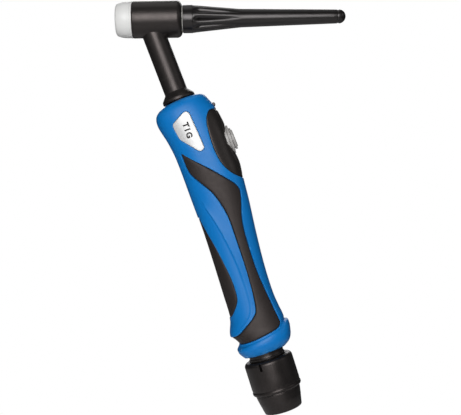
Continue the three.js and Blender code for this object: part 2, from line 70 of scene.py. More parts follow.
def softbox(name, place, size, watts):
    """A square soft light that faces the torch."""
    light = bpy.data.lights.new(name, "AREA")
    light.shape = "SQUARE"
    light.size = size
    light.energy = watts
    lamp = bpy.data.objects.new(name, light)
    facing = Vector(place).to_track_quat("Z", "Y").to_matrix().to_4x4()
    lamp.matrix_world = Matrix.Translation(place) @ facing
    bpy.context.collection.objects.link(lamp)


softbox("key_softbox", (-0.1, -1.2, 0.27), 0.75, 14.8)
softbox("left_softbox", (-1.2, -0.7, 0.35), 0.7, 1.0)
softbox("right_softbox", (1.2, -0.5, 0.5), 0.6, 1.2)
softbox("back_softbox", (0.0, 1.3, 0.7), 0.9, 7)
softbox("top_softbox", (-0.1, 0.1, 1.3), 0.8, 1.5)


def feed(tree, node, **inputs):
    """Sets a node's inputs to values, or links them from sockets."""
    for key, value in inputs.items():
        socket = node.inputs[int(key[1:])] if key[0] == "_" else node.inputs[key.replace("_", " ")]
        if isinstance(value, bpy.types.NodeSocket):
            tree.links.new(value, socket)
        else:
            socket.default_value = value
    return node


def add(tree, kind, settings=None, **inputs):
    """A new node with its settings made and its inputs fed."""
    made = tree.nodes.new(kind)
    for key, value in (settings or {}).items():
        setattr(made, key, value)
    return feed(tree, made, **inputs)


def studio_air():
    """White behind the torch, and dimmer where it lights and is reflected."""
    world = bpy.data.worlds.new("studio_air")
    world.use_nodes = True
    tree = world.node_tree
    seen, lit = 1.0, 0.06
    path = add(tree, "ShaderNodeLightPath")
    level = add(tree, "ShaderNodeMix", _0=path.outputs["Is Camera Ray"], _2=lit, _3=seen)
    feed(tree, tree.nodes["Background"], Color=(1, 1, 1, 1), Strength=level.outputs[0])
    bpy.context.scene.world = world


studio_air()

FLOOR_AT, FLOOR_R = (0, 0.05, -0.35), 0.75
FLOOR_DARK, FLOOR_LIGHT, FLOOR_GLOW = 0.8, 0.86, 0.38
disc = bmesh.new()
bmesh.ops.create_circle(disc, cap_ends=True, segments=96, radius=FLOOR_R)
bmesh.ops.translate(disc, vec=FLOOR_AT, verts=disc.verts)
floor = bpy.data.objects.new("floor", bpy.data.meshes.new("floor"))
disc.to_mesh(floor.data)
disc.free()
bpy.context.collection.objects.link(floor)


def floor_paint():
    """Pale paint whose glow only the camera sees, so that it throws no light on the torch."""
    paint = bpy.data.materials.new("floor_paint")
    paint.use_nodes = True
    tree = paint.node_tree
    speckle = add(tree, "ShaderNodeTexNoise", Scale=30.0, Detail=4.0)
    tone = add(tree, "ShaderNodeMapRange", _0=speckle.outputs["Fac"], _3=FLOOR_DARK, _4=FLOOR_LIGHT)
    seen = add(tree, "ShaderNodeLightPath").outputs["Is Camera Ray"]
    glow = add(tree, "ShaderNodeMath", {"operation": "MULTIPLY"}, _0=seen, _1=FLOOR_GLOW)
    feed(
        tree, tree.nodes["Principled BSDF"], Base_Color=tone.outputs[0], Roughness=0.8,
        Emission_Color=(1, 1, 1, 1), Emission_Strength=glow.outputs[0],
    )
    return paint


floor.data.materials.append(floor_paint())

# ---- cup gasket ----
# The white PTFE ring that insulates the head's face and seats the cup: a turned ring with a
# round front edge and slightly crowned sides, pushed over the nose of the brass core.
MM = 0.001
joint = {row["name"]: row for row in frame["joints"]}
HEAD_AT = Vector(joint["cap_turn"]["pos_m"])
HEAD_LINE = Matrix.Translation(HEAD_AT) @ Matrix.Rotation(pi / 2, 4, "Y")


def arc(centre_r, centre_h, radius, start, end, steps=8):
    """[radius, height] points along an edge rounding, from one angle to another."""
    angles = [radians(start + (end - start) * i / steps) for i in range(steps + 1)]
    return [[centre_r + radius * cos(a), centre_h + radius * sin(a)] for a in angles]


def piece(name, mesh, look, body, *nodes, slot=None, sharp=40):
    """A finished mesh as an object that rides on its body and stands for its CAD nodes."""
    made = bpy.data.objects.new(name, bpy.data.meshes.new(name))
    mesh.to_mesh(made.data)
    mesh.free()
    made.data.shade_smooth()
    made.data.set_sharp_from_angle(angle=radians(sharp))
    bpy.context.collection.objects.link(made)
    made.data.materials.append(look)
    if body:
        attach(made, body)
    if nodes:
        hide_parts(*nodes)
    return made


def spun(profile, place=Matrix.Identity(4), steps=96):
    """A profile of [radius, height] in mm turned about its axis, then put in place."""
    mesh = bmesh.new()
    closed = profile[0] == profile[-1]
    verts = [mesh.verts.new((r * MM, 0, h * MM)) for r, h in (profile[:-1] if closed else profile)]
    pairs = list(zip(verts, verts[1:])) + ([(verts[-1], verts[0])] if closed else [])
    for pair in pairs:
        mesh.edges.new(pair)
    geom = mesh.verts[:] + mesh.edges[:]
    bmesh.ops.spin(mesh, geom=geom, axis=(0, 0, 1), angle=2 * pi, steps=steps, use_merge=True)
    bmesh.ops.remove_doubles(mesh, verts=mesh.verts, dist=1e-6)
    bmesh.ops.recalc_face_normals(mesh, faces=mesh.faces)
    mesh.transform(place)
    return mesh


def skin_effect():
    """The surface of a moulding: tool grain, faint mottling, and outward edges painted paler, partly as wear
    and partly as a painted highlight.
    """
    group = bpy.data.node_groups.new("moulded_skin", "ShaderNodeTree")
    kinds = {"Place": "Vector", "Colour": "Color", "Rubbed": "Color"}
    taken = ("Place", "Colour", "Rubbed", "Roughness", "Grain Scale", "Mottling", "Wear", "Edge")
    for way, names in (("INPUT", taken), ("OUTPUT", ("Colour", "Roughness", "Height"))):
        for name in names:
            kind = "NodeSocket" + kinds.get(name, "Float")
            group.interface.new_socket(name, in_out=way, socket_type=kind)
    given = add(group, "NodeGroupInput").outputs

    def noise(scale, detail):
        made = add(group, "ShaderNodeTexNoise", Vector=given["Place"], Scale=scale, Detail=detail)
        return made.outputs["Fac"]

    def worked(operation, *values):
        inputs = {f"_{i}": value for i, value in enumerate(values)}
        return add(group, "ShaderNodeMath", {"operation": operation}, **inputs).outputs[0]

    grain = noise(given["Grain Scale"], 2.0)
    patches = noise(70.0, 4.0)
    smears = noise(260.0, 5.0)
    # the colour is lighter and darker in patches, about its own value
    spread = worked("MULTIPLY_ADD", patches, given["Mottling"], 1.0)
    shade = worked("MULTIPLY_ADD", given["Mottling"], -0.5, spread)
    toned = add(group, "ShaderNodeVectorMath", {"operation": "SCALE"}, _0=given["Colour"], Scale=shade)
    # outward edges are painted the paler colour in broken lengths: partly wear, partly a painted highlight
    # where edges catch the light
    paling_span = 0.06
    pointed = add(group, "ShaderNodeNewGeometry").outputs["Pointiness"]
    fully_paled = worked("ADD", given["Edge"], paling_span)
    crest = add(group, "ShaderNodeMapRange", _0=pointed, _1=given["Edge"], _2=fully_paled)
    broken = add(group, "ShaderNodeMapRange", _0=smears, _1=0.35, _2=0.6)
    share = worked("MULTIPLY", worked("MULTIPLY", crest.outputs[0], broken.outputs[0]), given["Wear"])
    coloured = {"_0": share, "_6": toned.outputs[0], "_7": given["Rubbed"]}
    mixed = add(group, "ShaderNodeMix", {"data_type": "RGBA"}, **coloured)
    # smears make the surface a little duller or shinier
    smear_depth = 0.16
    dull = worked("MULTIPLY_ADD", smears, smear_depth, given["Roughness"])
    dulled = worked("SUBTRACT", dull, smear_depth / 2)
    add(group, "NodeGroupOutput", Colour=mixed.outputs[2], Roughness=dulled, Height=grain)
    return group


MOULDED_SKIN = skin_effect()


# the paler edge colour is painted on outward edges, partly as wear and partly as a painted highlight
def moulded(name, colour, roughness, grain=2600.0, relief=0.05, mottling=0.1,
            rubbed=None, wear=0.3, edge=0.55, **fixed):
    """A moulded or turned finish: the shared skin effect on a Principled shader."""
    look = bpy.data.materials.new(name)
    look.use_nodes = True
    tree = look.node_tree
    place = add(tree, "ShaderNodeTexCoord").outputs["Object"]
    surface = add(
        tree, "ShaderNodeGroup", {"node_tree": MOULDED_SKIN}, Place=place, Colour=(*colour, 1),
        Rubbed=(*(rubbed or colour), 1), Roughness=roughness, Grain_Scale=grain, Mottling=mottling,
        Wear=wear, Edge=edge,
    )
    height = surface.outputs["Height"]
    raised = add(tree, "ShaderNodeBump", Strength=relief, Distance=0.1 * MM, Height=height)
    feed(
        tree, tree.nodes["Principled BSDF"], Base_Color=surface.outputs["Colour"],
        Roughness=surface.outputs["Roughness"], Normal=raised.outputs["Normal"], **fixed,
    )
    return look


PTFE = moulded("ptfe_white", (0.69, 0.69, 0.68), 0.42, grain=1500, relief=0.03, mottling=0.05,
               rubbed=(0.62, 0.6, 0.56), wear=0.25)
GASKET_BORE, GASKET_BACK = 7.8, -11.2
gasket_front = [[8.1, -22.8], *arc(9.2, -20.4, 2.4, -90, -22), *arc(-4.0, -14.9, 16.7, -22, 0), [12.7, -13.2]]
gasket_bead = [*arc(12.55, -12.9, 0.25, 0, 90, 3), *arc(12.55, -12.3, 0.25, -90, 0, 3)]
gasket_profile = [[GASKET_BORE, GASKET_BACK], [GASKET_BORE, -22.5], *gasket_front, *gasket_bead,
                  [12.9, GASKET_BACK], [GASKET_BORE, GASKET_BACK]]
piece("gasket_ring", spun(gasket_profile, HEAD_LINE), PTFE, "head", "cup_gasket", slot="gasket_white")

# ---- head core ----
# The turned brass body under the head's moulding: a threaded nose that shows inside the gasket
# and takes the collet body, and a threaded rear bore for the back cap's stub.
BRASS = moulded("brass", (0.62, 0.44, 0.16), 0.3, grain=5200, relief=0.12, mottling=0.2,
                rubbed=(0.8, 0.62, 0.3), wear=0.6, edge=0.53, Metallic=1.0)


def thread(radius, start, end, pitch=0.8, depth=0.35):
    """The teeth of a bore's thread, from one end to the other."""
    turns = int(abs(end - start) / pitch)
    step = (end - start) / turns / 2
    return [[radius - depth * (i % 2), start + step * i] for i in range(2 * turns + 1)]


NOSE_R, CORE_R, CORE_END = 7.5, 9.3, 23.9
core_profile = [[5.2, -20.7], [5.7, -21.3], [NOSE_R - 0.3, -21.3], [NOSE_R, -21.0], [NOSE_R, GASKET_BACK],
                [CORE_R, GASKET_BACK], [CORE_R, CORE_END - 0.2], [CORE_R - 0.2, CORE_END], [6.6, CORE_END],
                *thread(6.3, 23.0, 11.0), [6.3, 10.0], [5.2, 6.0], *thread(5.2, 5.6, -20.7)]
piece("head_body", spun(core_profile, HEAD_LINE), BRASS, "head", "head_core", slot="brass", sharp=30)

# ---- head moulding ----
# A black moulding over the brass core: a round body along the cap's line with a short stub
# round the neck, run into each other by a small fillet.
WARM = (1.0, 0.88, 0.85, 1.0)
HEAD_BLACK = moulded("head_black", (0.007, 0.0065, 0.0063), 0.4, grain=3400, mottling=0.18,
                     rubbed=(0.09, 0.085, 0.08), wear=0.35, edge=0.56, Specular_Tint=WARM)
NECK_TILT = radians(20)
NECK_LINE = Matrix.Translation(HEAD_AT) @ Matrix.Rotation(-NECK_TILT, 4, "Y")
HEAD_R, SLEEVE_R, STUB_END = 13.0, 8.3, 17.6


def carved(body, *tools):
    """A mesh with others joined to it or cut from it, each given as (operation, mesh)."""
    holders = []
    for mesh in (body, *(tool for _, tool in tools)):
        held = bpy.data.objects.new("blank", bpy.data.meshes.new("blank"))
        mesh.to_mesh(held.data)
        mesh.free()
        bpy.context.collection.objects.link(held)
        holders.append(held)
    for (operation, _), held in zip(tools, holders[1:]):
        step = holders[0].modifiers.new("carve", "BOOLEAN")
        step.operation = operation
        step.object = held
        step.solver = "EXACT"
    whole = holders[0].evaluated_get(bpy.context.evaluated_depsgraph_get())
    result = bmesh.new()
    result.from_mesh(whole.to_mesh())
    for held in holders:
        bpy.data.objects.remove(held)
    bmesh.ops.remove_doubles(result, verts=result.verts, dist=2e-6)
    bmesh.ops.dissolve_degenerate(result, edges=result.edges, dist=1e-6)
    return result


def on_head(radius, turn):
    """Height on the neck's line at which a point off it meets the head's round body."""
    x, y = radius * cos(turn), radius * sin(turn)
    return -(x * sin(NECK_TILT) + sqrt(HEAD_R**2 - y**2)) / cos(NECK_TILT)


def head_stub(steps=128):
    """The stub round the neck, its top flared on to the head's round body and closed inside it."""
    mesh = bmesh.new()
    rings = []
    fullest, chamfer = 0.6, 0.06
    sunk = 0.0004  # mm for each degree, so that the fillet's edge ends just inside the body
    for turn in (2 * pi * i / steps for i in range(steps)):
        fillet = min(fullest, 0.8 * (STUB_END + on_head(SLEEVE_R, turn) - 0.25))
        flare_low = on_head(SLEEVE_R, turn) - fillet
        rows = [[SLEEVE_R - chamfer, -STUB_END], [SLEEVE_R, -STUB_END + chamfer]]
        rows.append([SLEEVE_R, (flare_low - STUB_END) / 2])
        for a in range(0, 91, 10):
            radius = SLEEVE_R + fillet * (1 - cos(radians(a)))
            rows.append([radius, on_head(radius, turn) - fillet * (1 - sin(radians(a))) + sunk * a])
        rows.append([SLEEVE_R - 1, -6.0])
        rings.append([mesh.verts.new((r * MM * cos(turn), r * MM * sin(turn), h * MM)) for r, h in rows])
    for ring, after in zip(rings, [*rings[1:], rings[0]]):
        for i in range(len(ring) - 1):
            mesh.faces.new((ring[i], after[i], after[i + 1], ring[i + 1]))
    mesh.faces.new([ring[0] for ring in rings[::-1]])
    mesh.faces.new([ring[-1] for ring in rings])
    bmesh.ops.recalc_face_normals(mesh, faces=mesh.faces)
    mesh.transform(NECK_LINE)
    return mesh


def plug(radius, low, high, place=Matrix.Identity(4), steps=96):
    """A plain round bar, for cutting a bore."""
    return spun([[0, low], [radius, low], [radius, high], [0, high]], place, steps)


shell_side = [[HEAD_R, -6.0], [HEAD_R, 0.0], [HEAD_R, 8.0], [HEAD_R, 14.0]]
shell_profile = [[0, -10.9], *arc(12.4, -10.3, 0.6, -90, 0, 5), *shell_side,
                 *arc(9.2, 20.3, 3.8, 0, 90, 14), [0, 24.1]]
core_bore, tube_bore = plug(9.6, -12, 25, HEAD_LINE), plug(5.3, -19, 0, NECK_LINE)
head_mesh = carved(spun(shell_profile, HEAD_LINE, 128), ("UNION", head_stub()),
                   ("DIFFERENCE", core_bore), ("DIFFERENCE", tube_bore))
piece("head_moulding", head_mesh, HEAD_BLACK, "head", "head_shell", slot="head_moulding", sharp=32)

# ---- cap seal ----
# The pale silicone ring that the back cap squeezes against the head to keep the gas in. It is
# moulded and rides with the cap, and shows as a thin light line between the two.
SILICONE = moulded("silicone_pale", (0.56, 0.55, 0.52), 0.45, grain=900, relief=0.02, mottling=0.08)
seal_profile = [*arc(9.22, 24.4, 0.24, -90, 90, 8), *arc(7.5, 24.4, 0.24, 90, 270, 8)]
seal = spun([*seal_profile, seal_profile[0]], HEAD_LINE)
piece("cap_seal_ring", seal, SILICONE, "cap_seal", "cap_oring", slot="seal_pale")

# ---- back cap ----
# A long black cap that screws into the core over the electrode's rear end: nine flutes behind
# its base for the fingers, a slim taper, a groove and a domed tip.
CAP_BLACK = moulded("cap_black", (0.0055, 0.005, 0.005), 0.32, grain=3400, relief=0.03, mottling=0.18,
                    rubbed=(0.09, 0.085, 0.08), wear=0.35, edge=0.56, Specular_Tint=(1.0, 0.95, 0.95, 1.0))
CAP_SEAT, CAP_BASE_R, BASE_END, FLUTE_END, GROOVE, FLUTES = 24.7, 9.9, 32.0, 66.0, 133.8, 9
TAPER_START, TAPER_R, TAPER_END, TIP_R = 40, 7.1, 134, 4.9


def eased(value, start, end):
    """0 before start, 1 after end, and smooth between them."""
    t = np.clip((value - start) / (end - start), 0, 1)
    return t * t * (3 - 2 * t)


def cap_valley(along):
    """The cap's radius in the flutes, and over the plain taper behind them."""
    body = TAPER_R + (along - TAPER_START) * (TIP_R - TAPER_R) / (TAPER_END - TAPER_START)
    return CAP_BASE_R - 0.3 + (body - CAP_BASE_R + 0.3) * eased(along, BASE_END - 0.4, BASE_END + 5)


def cap_crest(along):
    """The cap's radius between the flutes, where it falls straight to the taper."""
    crest_end_r = 6.49
    fall = (along - BASE_END) * (crest_end_r - CAP_BASE_R + 0.15) / (FLUTE_END - BASE_END)
    return max(CAP_BASE_R - 0.15 + fall, cap_valley(along))


def fluted(mesh):
    """Lifts the crests between the flutes; each flute is a narrow valley between broad crests."""
    broadness = 0.42
    for vert in mesh.verts:
        along, radius = vert.co.z / MM, vert.co.xy.length / MM
        if BASE_END <= along <= FLUTE_END and radius > 4.5:
            wave = (1 + cos(FLUTES * np.arctan2(vert.co.y, -vert.co.x))) / 2
            lift = (cap_crest(along) - cap_valley(along)) * wave**broadness
            vert.co.xy *= 1 + lift / radius
    return mesh


flute_rows = [BASE_END + 0.1 + (FLUTE_END - BASE_END) * i / 60 for i in range(61)]
taper_rows = [FLUTE_END + (GROOVE - FLUTE_END) * i / 24 for i in range(1, 24)]
cap_stub = [[5.7, 14.0], *thread(6.0, 14.4, 23.6, depth=0.3), [5.6, 24.0], [5.6, CAP_SEAT]]
cap_base = [[9.4, CAP_SEAT], *arc(9.5, 25.1, 0.4, -90, 0, 4), *arc(9.4, 31.4, 0.5, 0, 60, 4)]
cap_groove = [*arc(4.55, 133.7, 0.35, 0, 90, 4), [4.62, 134.2], [4.62, 134.9],
              *arc(4.6, 135.6, 0.35, -60, 0, 4)]
cap_profile = [[3.2, 14.0], *cap_stub, *cap_base,
               *[[cap_valley(along), along] for along in flute_rows + taper_rows], *cap_groove,
               *arc(0, 135.1, 4.95, 6, 90, 14)[:-1], [0, 139.9], [0, 131.0], [3.2, 129.0], [3.2, 14.0]]
cap_mesh = spun(cap_profile, steps=FLUTES * 16)
fluted(cap_mesh).transform(HEAD_LINE)
piece("long_back_cap", cap_mesh, CAP_BLACK, "back_cap", "back_cap", slot="head_moulding", sharp=48)

# ---- neck tube ----
# Corrugated copper tube that bends with the neck and carries current and gas. It lies inside
# the sleeve, and is made as a length on each of the bodies that the neck turns in.
COPPER = moulded("copper", (0.62, 0.27, 0.13), 0.34, grain=4800, relief=0.1, mottling=0.3,
                 rubbed=(0.85, 0.5, 0.32), wear=0.5, edge=0.53, Metallic=1.0)
PIVOTS, CLEAR = [22.0, 31.0, 40.0, 49.0], 0.9
TUBE_R, RIB_DEPTH, RIB_PITCH, TUBE_BORE = 4.75, 0.25, 1.5, 3.6
HANDLE_TOP = 62.3
NECK_BODIES = ["head", "neck_upper", "neck_middle", "neck_lower", "handle"]
tube_tops = [8.6, *[pivot + CLEAR for pivot in PIVOTS]]
tube_ends = [*[pivot - CLEAR for pivot in PIVOTS], HANDLE_TOP + 1]
for number, (top, end, body) in enumerate(zip(tube_tops, tube_ends, NECK_BODIES), 1):
    heights = np.arange(end, top - 0.01, -0.25)
    outside = [[TUBE_R + RIB_DEPTH * cos(2 * pi * h / RIB_PITCH), -h] for h in heights]
    length = spun([*outside, [TUBE_BORE, -top], [TUBE_BORE, -end], outside[0]], NECK_LINE, 64)
    piece(f"flexible_tube_{number}", length, COPPER, body, f"neck_tube_{number}", slot="copper_tube")

# ---- neck sleeve ----
# Smooth black rubber over the flexible tube, in lengths that each cross one pivot of the neck and meet half
# way between pivots. The lengths are not carried by any body.
NECK_RUBBER = moulded("neck_rubber", (0.0078, 0.0071, 0.007), 0.42, grain=2200, relief=0.08, mottling=0.2,
                      rubbed=(0.06, 0.055, 0.05), Specular_Tint=WARM)
sleeve_ends = [STUB_END, *[(a + b) / 2 for a, b in zip(PIVOTS, PIVOTS[1:])], 54.6]
for number, (top, end) in enumerate(zip(sleeve_ends, sleeve_ends[1:]), 1):
    rows = np.linspace(-end, -top, 15)
    sleeve_profile = [*[[SLEEVE_R, h] for h in rows], *[[5.4, h] for h in rows[::-1]]]
    length = spun([*sleeve_profile, sleeve_profile[0]], NECK_LINE)
    sleeve = piece(f"sleeve_{number}", length, NECK_RUBBER, None, f"neck_sleeve_{number}", slot="neck_rubber")
    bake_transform(sleeve)

# ---- neck boot ----
# A black rubber collar that flares where the neck goes into the handle. Its flange is held
# between the two halves.
flare = [[8.32, -54.9], [8.4, -55.2], [8.7, -55.7], [9.1, -56.15], [11.3, -58.75], [11.6, -59.15],
         [11.8, -59.7], [11.85, -60.3]]
boot_profile = [[5.4, -68.1], [9.6, -68.1], [9.6, -66.1], [8.3, -66.1], [8.3, -61.5], [11.2, -61.5],
                *arc(11.45, -61.1, 0.4, -90, 0, 6), *flare[::-1], [8.25, -54.62], [5.4, -54.62], [5.4, -68.1]]
piece("boot", spun(boot_profile, NECK_LINE), NECK_RUBBER, "handle", "neck_boot", slot="neck_rubber")

# ---- power tail ----
# The rigid copper tail of the neck with its clamp, nut and nipple, closed inside the handle.
# Their shapes are the frame's own, in drawn copper, machined brass and black nylon.


def dress(look, *names):
    """Gives nodes of the frame a better finish."""
    for name in names:
        slots = frame["nodes"][name].data.materials
        slots.clear()
        slots.append(look)


NYLON = moulded("black_nylon", (0.012, 0.011, 0.011), 0.45, grain=1800, relief=0.12, mottling=0.15,
                rubbed=(0.07, 0.068, 0.065))
dress(COPPER, "body_tube")
dress(NYLON, "tube_clamp")
dress(BRASS, "tail_nut", "tail_nipple")

# ---- handle halves ----
# Two satin blue mouldings that close on the neck's tail and are screwed together. A flat plan
# of the skin, girth against distance down, is cut to each panel's outline and laid on the form.
HANDLE_TILT = radians(18)
neck_way = Vector((sin(NECK_TILT), 0, -cos(NECK_TILT)))
HANDLE_LINE = Matrix.Translation(HEAD_AT + neck_way * HANDLE_TOP * MM) @ Matrix.Rotation(-HANDLE_TILT, 4, "Y")
LENGTH, SQUARENESS, GIRTH = 186.5, 2.35, 18.0
TOP_LEAN, LEAN_FROM, LEAN_OVER = 0.075, 2, 14
BACK_SEAM = pi * GIRTH


def line(points):
    """A smooth line through [place, value] points; it runs on straight to its two end points."""
    places, values = np.array(points, float).T
    chords = np.diff(values) / np.diff(places)
    slopes = np.array([chords[0], *(values[2:] - values[:-2]) / (places[2:] - places[:-2]), chords[-1]])
    if len(places) > 2:
        slopes[[0, -1]] = 1.5 * chords[[0, -1]] - 0.5 * slopes[[1, -2]]

    def value_at(where):
        held = np.clip(where, places[0], places[-1])
        i = np.clip(np.searchsorted(places, held, side="right") - 1, 0, len(places) - 2)
        span = places[i + 1] - places[i]
        t = (held - places[i]) / span
        bend = t * (1 - t) * ((1 - t) * slopes[i] - t * slopes[i + 1]) * span
        ease = t * t * (3 - 2 * t)
        return values[i] * (1 - ease) + values[i + 1] * ease + bend

    return value_at


# the handle's side view: [distance down, distance across] of its front and back, and its half thickness
FRONT = line([
    [0, -11.6], [1.8, -16.9], [5.5, -19.9], [12.5, -20.4], [25, -17.6], [38, -15.8], [68, -15], [95, -14.6],
    [140, -15.8], [158, -16.7], [168.8, -20.2], [172.8, -17.6], [176.6, -16.2], [179.7, -18.7],
    [182.4, -18.2], [186.5, -15.4],
])
BACK = line([
    [0, 11.6], [1.5, 16.8], [6, 19.9], [14, 22.9], [26, 24.7], [47, 25.5], [56, 26.2], [68, 25], [82, 23.8],
    [105, 21.2], [128, 19.2], [148, 18.6], [160, 19.5], [171.7, 21.4], [179.7, 21.2], [184, 19],
    [186.5, 15.6],
])
HALF = line([
    [0, 11.6], [1.8, 14.4], [5.5, 16.2], [12.5, 16.8], [40, 16.8], [70, 16.2], [110, 15.4], [150, 15.8],
    [165, 17.2], [176, 18.8], [180, 19.3], [184, 17.9], [186.5, 15.5],
])


def skin(plan):
    """Points of the plan, [girth, down] in mm, on the handle's outside, in the handle's own mm."""
    girth, down = plan.T
    on = np.clip(down, 0, LENGTH)
    closing = np.abs(down - on)
    front, back, half = FRONT(on) + closing, BACK(on) - closing, HALF(on) - closing
    c, s = np.cos(girth / GIRTH), np.sin(girth / GIRTH)
    across = (front + back) / 2 - (back - front) / 2 * np.sign(c) * np.abs(c) ** (2 / SQUARENESS)
    side = -half * np.sign(s) * np.abs(s) ** (2 / SQUARENESS)
    lean = TOP_LEAN * across * (1 - np.clip((on - LEAN_FROM) / LEAN_OVER, 0, 1))
    return np.stack([across, side, lean - on], 1)


def laid(plan, depth, mirrored=False):
    """Points of the plan at a depth under the skin, in metres in the torch's frame."""
    near = 0.25
    round_it = skin(plan + [near, 0]) - skin(plan - [near, 0])
    down_it = skin(plan + [0, near]) - skin(plan - [0, near])
    out = np.cross(down_it, round_it)
    out /= np.linalg.norm(out, axis=1, keepdims=True)
    place = skin(plan) - out * np.asarray(depth).reshape(-1, 1)
    if mirrored:
        place[:, 1] *= -1
    matrix = np.array(HANDLE_LINE)
    return place * MM @ matrix[:3, :3].T + matrix[:3, 3]


def planned(points):
    """[down, across] points of the side view as [girth, down] points of the plan."""
    down, across = np.array(points, float).T
    front, back = FRONT(down), BACK(down)
    t = (2 * across - front - back) / (back - front)
    held = np.clip(t, -1, 1)
    turn = np.arccos(-np.sign(held) * np.abs(held) ** (SQUARENESS / 2))
    return np.stack([turn * GIRTH + (t - held) * (back - front) / 2, down], 1)


def way_along(points):
    """How far along a run each of its points lies."""
    return np.concatenate([[0], np.cumsum(np.linalg.norm(np.diff(points, axis=0), axis=1))])


def evened(points, spacing=0.7, closed=True):
    """A run of points spread evenly along its length."""
    points = np.array(points, float)
    if closed:
        points = np.vstack([points, points[:1]])
    way = way_along(points)
    stops = np.linspace(0, way[-1], max(2, round(way[-1] / spacing)), endpoint=not closed)
    return np.stack([np.interp(stops, way, points[:, 0]), np.interp(stops, way, points[:, 1])], 1)


def run_through(*runs):
    """Smooth runs through [down, across] points, one after the other, on the plan."""
    walked = []
    for run in runs:
        run = np.array(run, float)
        way = way_along(run)
        stops = np.arange(0, way[-1], 0.5)
        walked.append(np.stack([line(np.stack([way, side], 1))(stops) for side in run.T], 1))
    return planned(np.vstack([*walked, [runs[-1][-1]]]))


def softened(outline, passes=3):
    """A closed outline, spaced evenly, with its corners a little rounded."""
    outline = evened(outline)
    for _ in range(passes):
        outline = (np.roll(outline, 1, 0) + 2 * outline + np.roll(outline, -1, 0)) / 4
    return outline


def over_seam(half_outline, seam):
    """An outline that crosses a seam: its half at the left and the same at the right."""
    near = half_outline[(half_outline[:, 0] - seam) * (1 if seam == 0 else -1) > 0.02]
    ends = [[seam, near[0][1]], *near, [seam, near[-1][1]]]
    far = np.array(ends)[::-1] * [-1, 1] + [2 * seam, 0]
    return softened(np.vstack([ends, far[1:-1]]))


def moved_in(outline, distance):
    """A closed outline moved inwards, each point along its corner's bisector."""
    ahead = np.roll(outline, -1, 0) - outline
    ahead /= np.linalg.norm(ahead, axis=1, keepdims=True)
    along = ahead + np.roll(ahead, 1, 0)
    along /= np.linalg.norm(along, axis=1, keepdims=True)
    miter = np.clip(np.sum(along * ahead, axis=1, keepdims=True), 0.6, 1)
    area = np.sum(outline[:, 0] * np.roll(outline[:, 1], -1) - outline[:, 1] * np.roll(outline[:, 0], -1))
    return outline + np.stack([-along[:, 1], along[:, 0]], 1) / miter * distance * np.sign(area)


def inside_by(points, outline):
    """How far each point lies inside a closed outline, less than 0 outside, and rough when far."""
    found = -np.maximum(outline.min(0) - points, points - outline.max(0)).max(1)
    near = np.flatnonzero(found > -7)
    x, y = outline.T.astype("f4")
    edge_x, edge_y = np.roll(x, -1) - x, np.roll(y, -1) - y
    for some in np.array_split(near, len(near) // 1500 + 1):
        if len(some):
            from_x, from_y = points[some, :1].astype("f4") - x, points[some, 1:].astype("f4") - y
            t = np.clip((from_x * edge_x + from_y * edge_y) / (edge_x**2 + edge_y**2), 0, 1)
            gap = np.sqrt(((from_x - t * edge_x) ** 2 + (from_y - t * edge_y) ** 2).min(1))
            level = (from_y < 0) != (from_y < edge_y)
            crossed = level & ((from_x * edge_y - from_y * edge_x) * np.sign(edge_y) < 0)
            found[some] = np.where(crossed.sum(1) % 2, gap, -gap)
    return found


def extruded(mesh):
    """Extrudes all the faces of a mesh, and gives the fresh vertices."""
    grown = bmesh.ops.extrude_face_region(mesh, geom=mesh.faces[:])["geom"]
    return [part for part in grown if isinstance(part, bmesh.types.BMVert)]


